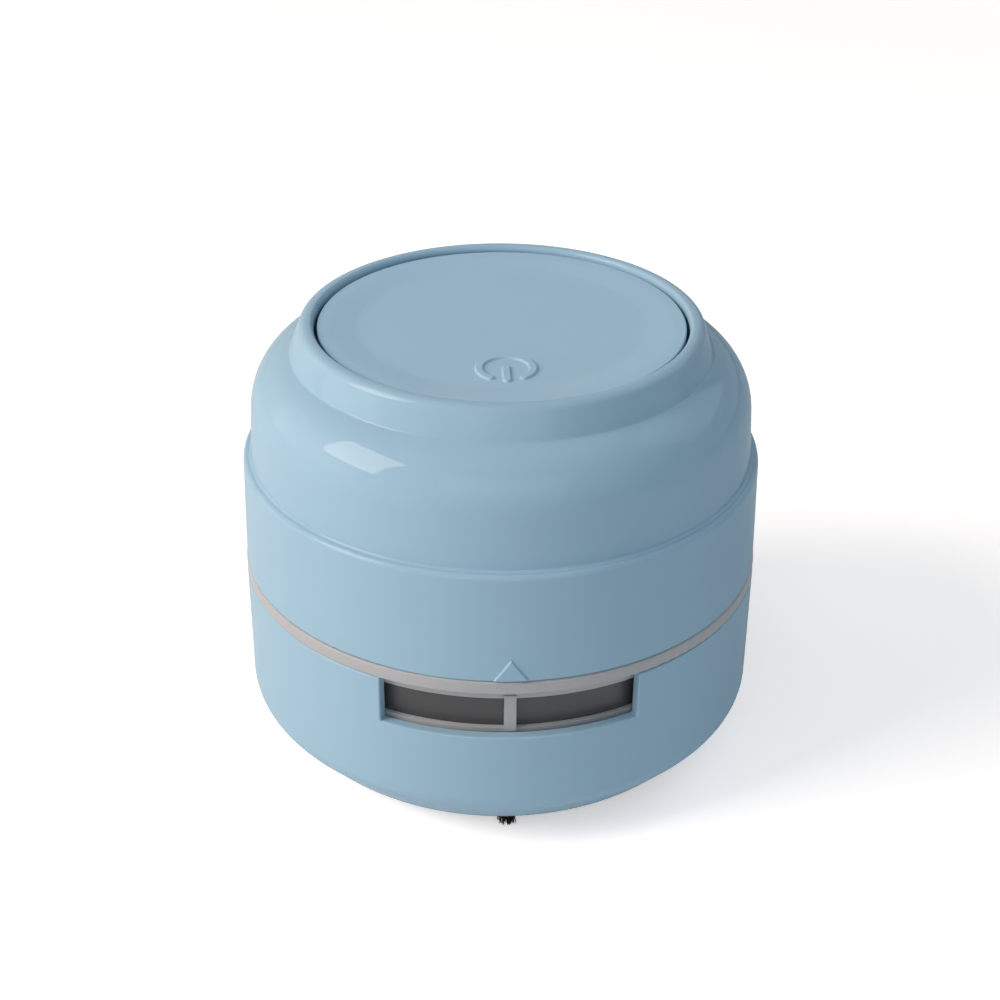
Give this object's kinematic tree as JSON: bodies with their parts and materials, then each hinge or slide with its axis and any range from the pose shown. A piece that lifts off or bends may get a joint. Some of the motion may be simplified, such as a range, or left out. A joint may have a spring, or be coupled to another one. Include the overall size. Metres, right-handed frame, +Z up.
{
  "type": "desktop mini vacuum cleaner",
  "caption": "Round battery desk vacuum with a bayonet dust cup, a pull-off filter frame, a fan unit and a press plate that works as its switch.",
  "frame": {"origin": "on the axis of the round body, on the desk under the glide feet", "axes": "+Z up along the axis of the body, -Y towards the front with the power symbol and the locking mark"},
  "size_m": [0.086, 0.086, 0.0742],
  "materials": {
    "blue_shell": "glossy moulded ABS, pale blue",
    "blue_satin": "satin moulded ABS, pale blue",
    "grey_frame": "satin moulded ABS, light grey",
    "white_chassis": "unpainted moulded ABS",
    "fan_plastic": "moulded nylon",
    "dark_mesh": "fine woven nylon screen",
    "filter_cloth": "fine woven filter mesh",
    "seal_rubber": "soft black rubber",
    "bristle": "black nylon bristle",
    "glide": "smooth slippery plastic",
    "black_plastic": "moulded black plastic",
    "motor_steel": "drawn and zinc plated",
    "screw_steel": "zinc plated",
    "spring_steel": "drawn wire",
    "core_steel": "pressed steel laminations",
    "bronze": "plain",
    "nickel": "nickel plated",
    "ferrite": "sintered ferrite",
    "cell_wrap": "shrink wrapped lithium cell",
    "board": "green solder mask"
  },
  "bodies": {
    "dust_cup": {"dust_cup": "blue_shell", "intake_nozzle": "blue_shell", "brush_tufts": "bristle", "glide_feet": "glide"},
    "filter_frame": {"filter_frame": "grey_frame", "exhaust_screen": "dark_mesh", "filter_mesh": "filter_cloth", "filter_retainer": "grey_frame", "seal_ring": "seal_rubber"},
    "power_unit": {"chassis": "white_chassis", "inlet_shroud": "white_chassis", "skirt_shell": "blue_shell", "dome_cover": "blue_shell", "motor_can": "motor_steel", "motor_end_cap": "black_plastic", "motor_bearings": "bronze", "field_magnets": "ferrite", "motor_terminals": "bronze", "motor_damper": "seal_rubber", "motor_screws": "screw_steel", "battery_cell": "cell_wrap", "battery_tabs": "nickel", "control_board": "board", "power_switch": "black_plastic", "board_screws": "screw_steel", "charge_board": "board", "usb_socket": "nickel", "housing_screws": "screw_steel", "return_springs": "spring_steel"},
    "press_plate": {"press_plate": "blue_satin", "switch_plunger": "black_plastic"},
    "rotor": {"impeller": "fan_plastic", "motor_shaft": "spring_steel", "armature": "core_steel", "commutator": "bronze"}
  },
  "joints": [
    {"name": "cup_twist", "type": "hinge", "parent": "dust_cup", "child": "filter_frame", "pos_m": [0, 0, 0.0314], "axis": [0, 0, 1], "range_deg": [0, 24]},
    {"name": "unit_lift", "type": "slide", "parent": "filter_frame", "child": "power_unit", "axis": [0, 0, 1], "range_m": [0, 0.03]},
    {"name": "plate_press", "type": "slide", "parent": "power_unit", "child": "press_plate", "axis": [0, 0, -1], "range_m": [0, 0.0015], "stiffness_N_per_m": 900, "springref_m": -0.001, "deforming": ["return_springs"]},
    {"name": "fan_spin", "type": "hinge", "parent": "power_unit", "child": "rotor", "pos_m": [0, 0, 0.03], "axis": [0, 0, 1], "continuous": true}
  ]
}
